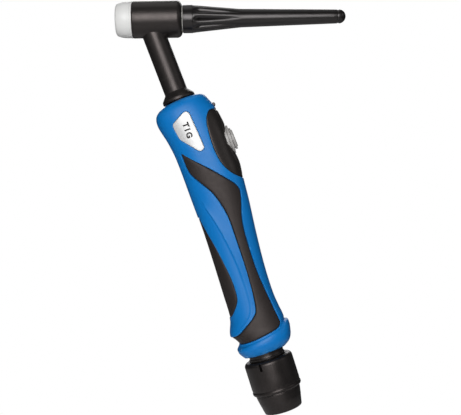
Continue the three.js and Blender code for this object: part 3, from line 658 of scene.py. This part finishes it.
def panel(bounds, base, steps=(), spacing=1.0, mirrored=False):
    """One panel of the handle's skin as a closed mesh.

    bounds are (outline, side, lip): the panel lies inside the outline where side is 1 and
    outside it where side is -1, and lip gives the skin's depth at distances from the outline.
    steps are (outline, rise, strength): the skin's rise at distances inside an outline drawn on
    the panel, scaled by its strength there.
    base is the depth of the panel's inner face.
    """

    def room(points):
        """Each bound's lip, with how far the points lie at the panel's side of its outline."""
        return [(lip, side * inside_by(points, outline)) for outline, side, lip in bounds]

    def beyond_lips(points, margin):
        return np.all([gap >= lip[-1][0] + margin for lip, gap in room(points)], 0)

    points, ties = [], []

    def tie(ring, kept):
        first = sum(map(len, points))
        places = np.cumsum(kept) - 1 + first
        points.append(ring[kept])
        follow = kept & np.roll(kept, -1)
        ties.extend(zip(places[follow].tolist(), np.roll(places, -1)[follow].tolist()))

    for number, (outline, side, lip) in enumerate(bounds):
        for distance, _ in lip:
            ring = moved_in(outline, side * distance)
            if distance == lip[0][0]:
                tie(ring, np.full(len(ring), True))
                continue
            kept = np.full(len(ring), True)
            for other, (beside, gap) in enumerate(room(ring)):
                kept &= gap >= (0.97 * distance if other == number else beside[1][0])
            tie(ring, kept)
    for outline, rise, _ in steps:
        for distance, _ in rise:
            ring = moved_in(outline, distance)
            tie(ring, beyond_lips(ring, 0.25))
    lows = [min(o[:, i].min() for o, side, _ in bounds if side > 0) for i in (0, 1)]
    highs = [max(o[:, i].max() for o, side, _ in bounds if side > 0) for i in (0, 1)]
    axes = [np.arange(low + spacing / 2, high, spacing) for low, high in zip(lows, highs)]
    grid = np.stack(np.meshgrid(*axes), -1).reshape(-1, 2)
    clear = 0.45 * spacing
    open_field = beyond_lips(grid, clear)
    for outline, rise, _ in steps:
        gap = inside_by(grid, outline)
        open_field &= (gap < rise[0][0] - clear) | (gap > rise[-1][0] + clear)
    points.append(grid[open_field])

    verts, _, faces, *_ = delaunay_2d_cdt([Vector(p) for p in np.vstack(points)], ties, [], 0, 1e-4, False)
    plan = np.array(verts)
    faces = np.array(faces)
    middles = plan[faces].mean(1)
    faces = faces[np.all([gap > lip[0][0] for lip, gap in room(middles)], 0)]
    used = np.unique(faces)
    plan = plan[used]
    depth = np.max([np.interp(gap, *np.array(lip).T) for lip, gap in room(plan)], 0)
    for outline, rise, strength in steps:
        depth -= np.interp(inside_by(plan, outline), *np.array(rise).T) * strength(*plan.T)

    mesh = bmesh.new()
    flat = [mesh.verts.new((*place, 0)) for place in plan]
    number = np.searchsorted(used, faces)
    for face in number:
        mesh.faces.new([flat[i] for i in face])
    fresh = extruded(mesh)
    under = laid(np.array([vert.co.xy for vert in fresh]), base, mirrored)
    for vert, place in zip([*flat, *fresh], [*laid(plan, depth, mirrored), *under]):
        vert.co = place
    bmesh.ops.recalc_face_normals(mesh, faces=mesh.faces)
    return mesh


SIDE_GRIP = softened(run_through(
    [[35.6, -11.3], [42.3, -5.6], [51.4, 3.3], [60.4, 11.6], [68, 18.4], [72.8, 20.6]],
    [[72.8, 20.6], [79.5, 19.1], [91.8, 15.3], [103.5, 13.6], [131, 13.2], [158.7, 15.9], [169.4, 17.2]],
    [[169.4, 17.2], [172, 14.4], [173.9, 4.5], [175.4, -6.7], [176.6, -24]],
    [[169.8, -24], [169.2, -16.2], [165.9, -9.6], [158.7, 1.3], [152.9, 3.7], [132.9, 5.7], [107, 6.2],
     [86.2, 5.7], [70.1, 1.4], [60.2, -4.7], [51.5, -10], [42.7, -11.2], [35.6, -11.3]],
), 2)
SPINE_GRIP = over_seam(run_through(
    [[82.4, -16], [82.4, -14]],
    [[82.4, -14], [92.2, -12.4], [106.2, -9.6], [119.9, -7.5], [131.9, -6.2], [143.9, -6.7], [148.6, -8.9]],
    [[148.6, -8.9], [155.6, -15.2], [156.2, -18]],
), 0)
HOUSING_EDGE = over_seam(run_through(
    [[13.4, 24], [13.4, 18.9]],
    [[13.4, 18.9], [14.6, 16.9], [18.7, 14.2], [24.4, 12.8], [40.3, 12.1], [51.8, 14], [60, 18.5],
     [66, 25.4]],
    [[66, 25.4], [66.2, 26.5]],
), BACK_SEAM)
BADGE_EDGE = softened(run_through(
    [[11.6, 3.9], [9.5, 1.8], [10.6, -1.4], [15.2, -9.6]],
    [[15.2, -9.6], [16.6, -10.2], [26.8, -8.6]],
    [[26.8, -8.6], [38.6, 1.4]],
    [[38.6, 1.4], [39.4, 3.4], [37.6, 6.2]],
    [[37.6, 6.2], [11.6, 3.9]],
), 2)
TOP_EDGE, LOW_EDGE = -3.0, LENGTH + 0.7
HALF_PLAN = evened([[0, TOP_EDGE], [BACK_SEAM, TOP_EDGE], [BACK_SEAM, LOW_EDGE], [0, LOW_EDGE]])
# the blue skin rises in a soft bead beside the soft panels, and is merely eased elsewhere
BEAD = [(0.1, 1.7), (0.13, 0.5), (0.2, 0.18), (0.33, -0.1), (0.52, -0.28), (0.75, -0.34), (1.0, -0.3),
        (1.3, -0.17), (1.7, -0.05), (2.2, 0)]
EASED = [(0.1, 1.7), (0.13, 0.5), (0.24, 0.2), (0.45, 0.05), (0.9, 0)]
FINE = [(0.1, 1.3), (0.12, 0.3), (0.2, 0.12), (0.4, 0.03), (0.7, 0)]
SEAM = [(0.0, 1.4), (0.02, 0.3), (0.07, 0.22), (0.18, 0.07), (0.4, 0)]
# a ridge down the blue sweep; from it the skin falls away to the side grip
SWEEP = softened(np.vstack([
    run_through([[66, -9.4], [78, -6.6], [91.6, -3], [109.5, 0], [126.9, 1.6], [147.9, 1.4], [158.3, -2.2],
                 [165, -11], [168.5, -15.5]]),
    [[8, 180], [66, 180], [66, 58]],
]))
SWEEP_RISE = [(-1.8, 0), (-1.1, -0.06), (-0.7, 0.04), (-0.3, 0.4), (0, 0.62), (0.25, 0.68), (0.6, 0.6),
              (1.3, 0.4), (2.6, 0.2), (5, 0.06), (7, 0)]


def sweep_strength(girth, down):
    """The ridge rises below the badge, sinks half way down, and ends above the collar."""
    along = eased(down, 66, 84) * (1 - 0.45 * eased(down, 118, 140))
    return along * (1 - eased(girth, 34, 42)) * (1 - eased(down, 163, 168))


# the collar's upper edge is a rounded step, high at the back and low at the front
COLLAR = softened(np.vstack([
    run_through(
        [[169.4, 26], [169.8, 20.3]],
        [[169.8, 20.3], [170.8, 18.6], [173.2, 15.6], [175.4, 4.5], [177.0, -6.7], [178.2, -14.5]],
    ),
    [[4, 181], [4, 196], [70, 196], [70, 169.4]],
]))
COLLAR_RISE = [(-6, 0), (-2.5, -0.4), (-0.7, -0.9), (-0.3, -0.85), (0, -0.4), (0.25, 0.3), (0.6, 0.75),
               (1.1, 0.95), (2.0, 0.98), (4.5, 0.8), (8, 0.25), (11, 0)]


def collar_strength(girth, down):
    """The collar's step is low at the front and full at the back."""
    return 0.35 + 0.85 * eased(girth, 38, 50)


# the blue's paler edge colour is a painted highlight: light blue painted along the beads and lips where they
# would catch the light
BLUE = moulded("blue_satin", (0.0003, 0.158, 0.48), 0.43, grain=2000, relief=0.07, mottling=0.07,
               rubbed=(0.09, 0.33, 0.66), wear=0.8, edge=0.515, Specular_IOR_Level=0.25)
SCREWS, HEAD_HOLE = [(14.0, -14.5), (66.0, -10.0), (156.0, -7.5)], 3.1
SHELL_WALL, PANEL_WALL = 2.6, 3.1
HANDS = (("left", False), ("right", True))
ring_turns = np.linspace(0, 2 * pi, 40, endpoint=False)
screw_holes = [planned(np.array(at) + HEAD_HOLE * np.stack([np.cos(ring_turns), np.sin(ring_turns)], 1))
               for at in SCREWS]
SHELL_BOUNDS = [(HALF_PLAN, 1, SEAM), (SIDE_GRIP, -1, BEAD), (SPINE_GRIP, -1, EASED),
                (HOUSING_EDGE, -1, EASED), (BADGE_EDGE, -1, FINE)]
for hand, mirrored in HANDS:
    holes = [(hole, -1, FINE) for hole in screw_holes] if mirrored else []
    steps = [(SWEEP, SWEEP_RISE, sweep_strength), (COLLAR, COLLAR_RISE, collar_strength)]
    mesh = panel([*SHELL_BOUNDS, *holes], SHELL_WALL, steps, mirrored=mirrored)
    piece(f"blue_half_{hand}", mesh, BLUE, "handle", f"handle_shell_{hand}", slot="blue_shell", sharp=50)

# ---- soft grips ----
# Black rubber panels bonded into shallow pockets: one along each side, wrapping to the front
# above the collar, and one over the front seam. Their skin has a fine spark-eroded grain.
GRIP_RUBBER = moulded("grip_rubber", (0.0105, 0.0082, 0.0078), 0.58, grain=3000, relief=0.35, mottling=0.25,
                      rubbed=(0.06, 0.055, 0.05), edge=0.56, Specular_Tint=WARM)
# each panel has a flange under the blue skin, and its face lies a little lower than that skin
GRIP_LIP = [(-1.1, 2.75), (0.02, 2.72), (0.1, 1.6), (0.13, 0.9), (0.25, 0.7), (0.6, 0.52), (1.3, 0.43),
            (2.2, 0.4)]
for hand, mirrored in HANDS:
    mesh = panel([(SIDE_GRIP, 1, GRIP_LIP), (HALF_PLAN, 1, SEAM)], PANEL_WALL, mirrored=mirrored)
    piece(f"soft_side_{hand}", mesh, GRIP_RUBBER, "handle", f"side_grip_{hand}", slot="grip_rubber", sharp=50)
spine = panel([(SPINE_GRIP, 1, GRIP_LIP)], PANEL_WALL)
piece("soft_spine", spine, GRIP_RUBBER, "handle", "spine_grip", slot="grip_rubber", sharp=50)

# ---- badges ----
# A silver plate is glued into a pocket near the top of each half. The name of the process is
# printed on it in black, and reads down the handle.
SILVER = moulded("badge_foil", (0.56, 0.56, 0.56), 0.42, grain=6000, mottling=0.08, Metallic=0.2)
PRINT = moulded("badge_print", (0.02, 0.018, 0.018), 0.6, grain=6000, Specular_IOR_Level=0.2)
PRINT_HEIGHT, PRINT_DOWN, PRINT_ACROSS = 4.0, 17.0, -3.0
PRINT_FOOT, PRINT_FACE = 0.36, 0.2
BADGE_LIP = [(-0.9, 2.75), (0.0, 2.72), (0.04, 1.1), (0.07, 0.45), (0.2, 0.34), (0.5, 0.3)]


def lettering(words, height, down, across, mirrored):
    """Raised print that reads down the handle, from its first letter's foot."""
    curve = bpy.data.curves.new("print", "FONT")
    curve.body = words
    size_for_height, boldness, spacing = 1.4, 0.06, 1.4
    curve.size = height * size_for_height
    curve.offset = boldness * height
    curve.space_character = spacing
    held = bpy.data.objects.new("print", curve)
    bpy.context.collection.objects.link(held)
    mesh = bmesh.new()
    mesh.from_mesh(held.to_mesh())
    bpy.data.objects.remove(held)
    longest = 0.7
    long_edges = [edge for edge in mesh.edges if edge.calc_length() > longest]
    bmesh.ops.subdivide_edges(mesh, edges=long_edges, cuts=4)
    bmesh.ops.triangulate(mesh, faces=mesh.faces)
    if mirrored:
        bmesh.ops.scale(mesh, vec=(1, -1, 1), verts=mesh.verts)
        bmesh.ops.translate(mesh, vec=(0, height, 0), verts=mesh.verts)
    fresh = set(extruded(mesh))
    plan = planned([[down + vert.co.x, across + vert.co.y] for vert in mesh.verts])
    depths = [PRINT_FACE if vert in fresh else PRINT_FOOT for vert in mesh.verts]
    for vert, place in zip(mesh.verts, laid(plan, depths, mirrored)):
        vert.co = place
    bmesh.ops.recalc_face_normals(mesh, faces=mesh.faces)
    return mesh


for hand, mirrored in HANDS:
    plate = panel([(BADGE_EDGE, 1, BADGE_LIP)], PANEL_WALL, mirrored=mirrored)
    piece(f"badge_plate_{hand}", plate, SILVER, "handle", f"badge_{hand}", slot="badge_silver")
    words = lettering("TIG", PRINT_HEIGHT, PRINT_DOWN, PRINT_ACROSS, mirrored)
    piece(f"badge_print_{hand}", words, PRINT, "handle", slot="badge_silver")

# ---- handle screws ----
# Three steel self-tapping screws pull the halves together. Their domed heads are sunk in the
# right half, each on a blue boss, and take a hexagon key.
STEEL = moulded("steel", (0.42, 0.42, 0.43), 0.3, grain=4200, relief=0.1, mottling=0.15,
                rubbed=(0.6, 0.6, 0.6), wear=0.5, edge=0.53, Metallic=1.0)
HEAD_SUNK, BOSS_R, BOSS_BORE, KEY_R, THREAD_STEP = 2.9, 4.1, 1.6, 1.2, 0.45
for number, (down, across) in enumerate(SCREWS, 1):
    outside_y = abs(skin(planned([[down, across]]))[0, 1])
    seat = outside_y - HEAD_SUNK
    screw_at = HANDLE_LINE @ Matrix.Translation(Vector((across, 0, -down)) * MM)
    across_here = screw_at @ Matrix.Rotation(-pi / 2, 4, "X")
    boss = [[BOSS_BORE, seat - 5], [BOSS_R, seat - 5], [BOSS_R, seat + 0.8], [3.0, seat + 0.8],
            [3.0, seat - 0.05], [BOSS_BORE, seat - 0.05], [BOSS_BORE, seat - 5]]
    piece(f"screw_boss_{number}", spun(boss, across_here, 48), BLUE, "handle", slot="blue_shell")
    teeth = 2 * int((seat + 5.2) / (2 * THREAD_STEP))
    threads = [[1.4 - 0.3 * (i % 2), -5.6 + THREAD_STEP * i] for i in range(teeth)]
    screw_head = [[2.6, seat], [2.7, seat + 0.1], [2.7, seat + 0.5], *arc(0, seat - 2.6, 4.4, 54, 90, 8)[:-1]]
    screw_profile = [[0, -7.5], [0.4, -7.4], [1.1, -6.1], *threads, [1.1, seat], *screw_head, [0, seat + 1.8]]
    key = plug(KEY_R, seat + 0.7, seat + 4, steps=6)
    turned = carved(spun(screw_profile, steps=48), ("DIFFERENCE", key))
    turned.transform(across_here)
    piece(f"screw_{number}", turned, STEEL, "handle", f"handle_screw_{number}", slot="steel", sharp=30)

# ---- switch housing ----
# A black moulding let into the back of the handle. It carries the push button, and a prouder
# strip runs along its middle; a hooked latch holds its upper edge in the halves.
HOUSING_BLACK = moulded("housing_black", (0.0105, 0.0095, 0.009), 0.4, relief=0.12, mottling=0.2,
                        rubbed=(0.07, 0.066, 0.06), wear=0.35, edge=0.555, Specular_Tint=WARM)
HOUSING_LIP = [(-1.0, 2.75), (0.02, 2.72), (0.1, 1.6), (0.13, 0.65), (0.25, 0.48), (0.6, 0.4), (1.2, 0.37)]
BUTTON_DOWN = 37.0


def oval_on_back(long, wide, down):
    """A level oval about the back seam, from its half length down and half width across."""
    turns = np.linspace(0, 2 * pi, 96, endpoint=False)
    downs = down + long * np.cos(turns)
    sideways = wide * np.sin(turns)
    lean = np.arcsin((np.abs(sideways) / HALF(downs)) ** (SQUARENESS / 2)) * GIRTH
    return np.stack([BACK_SEAM + np.sign(sideways) * lean, downs], 1)


STRIP = softened(oval_on_back(24.5, 9.2, 38.6), 6)
STRIP_RISE = [(-0.35, 0), (-0.1, 0.06), (0.15, 0.42), (0.45, 0.54), (1.0, 0.58)]
BUTTON_HOLE = oval_on_back(11.9, 9.55, BUTTON_DOWN)


def strip_strength(girth, down):
    """The strip stands full round the button and sinks towards its lower end."""
    return 1 - 0.75 * eased(down, 50, 62)


housing = panel([(HOUSING_EDGE, 1, HOUSING_LIP), (BUTTON_HOLE, -1, FINE)], PANEL_WALL,
                steps=[(STRIP, STRIP_RISE, strip_strength)])
piece("housing", housing, HOUSING_BLACK, "handle", "switch_housing", slot="black_plastic", sharp=50)

# ---- housing latch ----
# The hook at the housing's upper edge: a stem that springs over the blue lip with a rounded
# head, moulded in the housing's black plastic.


def cut_out(outline, low, high):
    """A plate across the handle, its [down, across] outline drawn anticlockwise in the side view."""
    mesh = bmesh.new()
    mesh.faces.new([mesh.verts.new((across * MM, low * MM, -down * MM)) for down, across in outline])
    bmesh.ops.translate(mesh, vec=(0, (high - low) * MM, 0), verts=extruded(mesh))
    bmesh.ops.recalc_face_normals(mesh, faces=mesh.faces)
    edges = [edge for edge in mesh.edges if edge.calc_face_angle(0) > 0.5]
    bmesh.ops.bevel(mesh, geom=edges, offset=0.18 * MM, segments=3, profile=0.5, affect="EDGES")
    mesh.transform(HANDLE_LINE)
    return mesh


HOOK_HALF = 2.9
hook = [[13.4, 17.0], [13.4, 22.6], [11.4, 22.2], *arc(9.7, 22.0, 1.3, 20, 240, 11), [10.0, 17.0]]
latch = cut_out(hook, -HOOK_HALF, HOOK_HALF)
piece("latch_hook", latch, HOUSING_BLACK, "handle", "housing_latch", slot="black_plastic")

# ---- push button ----
# A long grey oval button that rises in bands inside a grey frame of two more bands. It slides in
# the housing against a spring, and is kept in by a flange under the frame.
BUTTON_GREY = moulded("button_grey", (0.32, 0.31, 0.3), 0.44, grain=3000, relief=0.04, mottling=0.06,
                      rubbed=(0.45, 0.45, 0.45), wear=0.15, edge=0.57)
BUTTON_LINE = HANDLE_LINE @ Matrix.Translation((0, 0, -BUTTON_DOWN * MM)) @ Matrix.Rotation(pi / 2, 4, "Y")
NARROWED, PLAIN_CORE, CROWN, CROWN_TIP = 2.35, 4.4, 25.5, 0.05
FRAME_BORE, FRAME_FOOT, FRAME_TOP, BUTTON_TOP = 8.3, 21.8, 26.1, 28.6
UNDERCUT = 0.9


def ovalled(mesh, rise=0.0):
    """Makes a turned mesh oval with equal margins all round, and tips its top up towards the cuff."""
    for vert in mesh.verts:
        vert.co.y *= 1 - NARROWED / max(vert.co.xy.length / MM, PLAIN_CORE)
        if vert.co.z > CROWN * MM:
            vert.co.z += rise * vert.co.x
    mesh.transform(BUTTON_LINE)
    return mesh


def stepped(steps, foot, groove):
    """Walls going in and up, each as (radius, top), with an undercut groove at its foot."""
    points = []
    for radius, top in steps:
        points += [[radius - UNDERCUT, foot], [radius - UNDERCUT, foot + groove - 0.05],
                   [radius, foot + groove], [radius, top - 0.12], [radius - 0.12, top]]
        foot = top
    return points


frame_steps = stepped([(12.0, 24.0), (10.4, FRAME_TOP)], FRAME_FOOT, 0.55)
frame_profile = [[FRAME_BORE, FRAME_FOOT], *frame_steps, [FRAME_BORE, FRAME_TOP], [FRAME_BORE, FRAME_FOOT]]
button_frame = ovalled(spun(frame_profile, steps=128))
piece("button_frame", button_frame, BUTTON_GREY, "handle", "button_bezel", slot="button_grey")
# the pin that meets the plunger, the spring's pocket and the flange, then the bands and the dimple
button_below = [[0, 19.1], [1.8, 19.1], [2.0, 19.3], [2.0, 22.0], [6.2, 22.0], [6.2, 20.9], [9.1, 20.9],
                [9.2, 21.0], [9.2, 21.9], [8.0, 22.0], [8.0, 26.1]]
button_steps = [*stepped([(7.9, 27.9)], 26.15, 0.5), [6.4, 27.9], [6.2, 28.5], [6.1, BUTTON_TOP]]
button_dimple = [[2.6, BUTTON_TOP], [1.3, 28.5], [1.1, 28.42], [1.0, 28.1], [0.8, 27.95], [0, 27.9]]
button_profile = [*button_below, *button_steps, *button_dimple]
button = ovalled(spun(button_profile, steps=128), CROWN_TIP)
piece("button", button, BUTTON_GREY, "button", "push_button", slot="button_grey")

# ---- switch ----
# The microswitch under the button with its carrier, plunger, spring, terminals and wires to the
# control plug, all shut inside the handle: nylon, steel and sheathed wire.
SWITCH_PLASTIC = moulded("switch_plastic", (0.05, 0.06, 0.075), 0.4, relief=0.08, mottling=0.12)
WHITE_PLASTIC = moulded("white_plastic", (0.68, 0.67, 0.64), 0.4, grain=1900, mottling=0.08)
WIRE_SHEATH = moulded("wire_sheath", (0.03, 0.028, 0.027), 0.5, grain=2400, relief=0.15, mottling=0.2)
dress(SWITCH_PLASTIC, "microswitch")
dress(NYLON, "switch_carrier")
dress(STEEL, "button_spring")
dress(BRASS, "switch_terminal_a", "switch_terminal_b")
dress(WHITE_PLASTIC, "switch_plunger", "wire_plug")
dress(WIRE_SHEATH, "switch_wire_a", "switch_wire_b")

# ---- ball joint ----
# A hollow black ball floats in a split bush in the handle's collar. The ring under it has two
# fine steps, and its neck carries the cuff.
CUFF_TILT = radians(16.6)
CUFF_LINE = Matrix.Translation(Vector(joint["cuff_tilt"]["pos_m"])) @ Matrix.Rotation(-CUFF_TILT, 4, "Y")
CUFF_BLACK = moulded("cuff_black", (0.006, 0.0055, 0.0054), 0.38, relief=0.14, mottling=0.2,
                     rubbed=(0.075, 0.07, 0.065), wear=0.4, Specular_Tint=WARM)
BALL_R, BALL_BORE, BUSH_IN, BUSH_OUT = 14, 9.4, 14.15, 14.5
ball_neck = [[BALL_BORE, -19.8], [9.6, -20], [11.2, -20], [11.4, -19.8], [11.4, -9.2]]
ball_ring = [[12.8, -9.2], [13.0, -9.0], [13.0, -8.15], [12.85, -8.0], [12.45, -7.95], [12.4, -7.8],
             [12.4, -6.5], [12.6, -6.4], [12.6, -5.9], [12.4, -5.8], [12.4, -5.0]]
ball_profile = [*ball_neck, *ball_ring, *arc(0, 0, BALL_R, -19, 40, 18), [9.6, 9.0], [BALL_BORE, 8.8],
                [BALL_BORE, -19.8]]
ball = spun(ball_profile, CUFF_LINE)
piece("hollow_ball", ball, CUFF_BLACK, "ball", "ball_joint", slot="cuff_plastic", sharp=35)
# the bush ends well above the halves' lips, so that it clears them
liner_profile = [*arc(0, 0, BUSH_OUT, 4, 34, 10), *arc(0, 0, BUSH_IN, 34, 4, 10)]
bush = spun([*liner_profile, liner_profile[0]], CUFF_LINE)
piece("bush", bush, WHITE_PLASTIC, "ball_liner", "ball_liner", slot="white_plastic")

# ---- cuff ----
# A two-part black cuff that grips the cable's cover under the ball: a barrel with a round
# shoulder and a small window, a bright-edged rim, and a tapering nut screwed up into it.
RIM, CUFF_END, BARREL = -33.4, -48.0, 17.5
RIM_BORE, BARREL_BORE = 15.4, 11.7
rim = [[16.9, RIM], [17.2, RIM + 0.15], [17.6, RIM + 0.8], [17.7, RIM + 1.2], [17.65, RIM + 2.3],
       [17.5, RIM + 2.6], [17.25, RIM + 2.8], [17.2, RIM + 3.1], [17.35, RIM + 3.5]]
shoulder = [*arc(14.5, -12.5, 3, 0, 84, 12), [12.4, -9.5], [11.9, -9.5], [BARREL_BORE, -9.7]]
barrel_profile = [[RIM_BORE, RIM], *rim, [BARREL, RIM + 4.2], [BARREL, -24], [BARREL, -18], *shoulder,
                  [BARREL_BORE, -22], [RIM_BORE, -22], [RIM_BORE, RIM]]
WINDOW_TURN, WINDOW_AT, WINDOW_SIZE = radians(-112), Vector((17.2, 0, -12.9)) * MM, (0.0076, 0.0022, 0.0054)
window = bmesh.new()
window_place = Matrix.Rotation(WINDOW_TURN, 4, "Z") @ Matrix.Translation(WINDOW_AT)
bmesh.ops.create_cube(window, size=1, matrix=window_place @ Matrix.Diagonal((*WINDOW_SIZE, 1)))
bmesh.ops.bevel(window, geom=window.edges[:], offset=0.35 * MM, segments=3, profile=0.5, affect="EDGES")
barrel = carved(spun(barrel_profile, steps=128), ("DIFFERENCE", window))
barrel.transform(CUFF_LINE)
piece("cuff_barrel", barrel, CUFF_BLACK, "cuff", "cuff_upper", slot="cuff_plastic", sharp=35)
nut_mouth = [[10.6, CUFF_END + 0.4], [11.0, CUFF_END], [12.9, CUFF_END], [13.3, CUFF_END + 0.2],
             [13.6, CUFF_END + 0.7]]
nut_profile = [*nut_mouth, [14.9, -41], [15.1, -40.4], [15.15, -39.9], [15.9, -36], [16.1, -34.1],
               [16.0, -33.7], [15.1, -33.7], [15.1, -27], [12, -27], [12, -34], nut_mouth[0]]
nut = spun(nut_profile, CUFF_LINE, 128)
piece("cuff_nut", nut, CUFF_BLACK, "cuff", "cuff_lower", slot="cuff_plastic", sharp=35)
CLAMP_RUBBER = moulded("clamp_rubber", (0.03, 0.027, 0.025), 0.6, grain=1800, relief=0.2, mottling=0.2)
ring_profile = [[11.6, -26.4], [11.8, -26.6], [14.9, -26.6], [15.1, -26.4], [15.1, -22.6],
                [14.9, -22.4], [11.8, -22.4], [11.6, -22.6], [11.6, -26.4]]
ring = spun(ring_profile, CUFF_LINE)
piece("clamp_ring", ring, CLAMP_RUBBER, "cuff", "cuff_clamp_ring", slot="clamp_rubber")
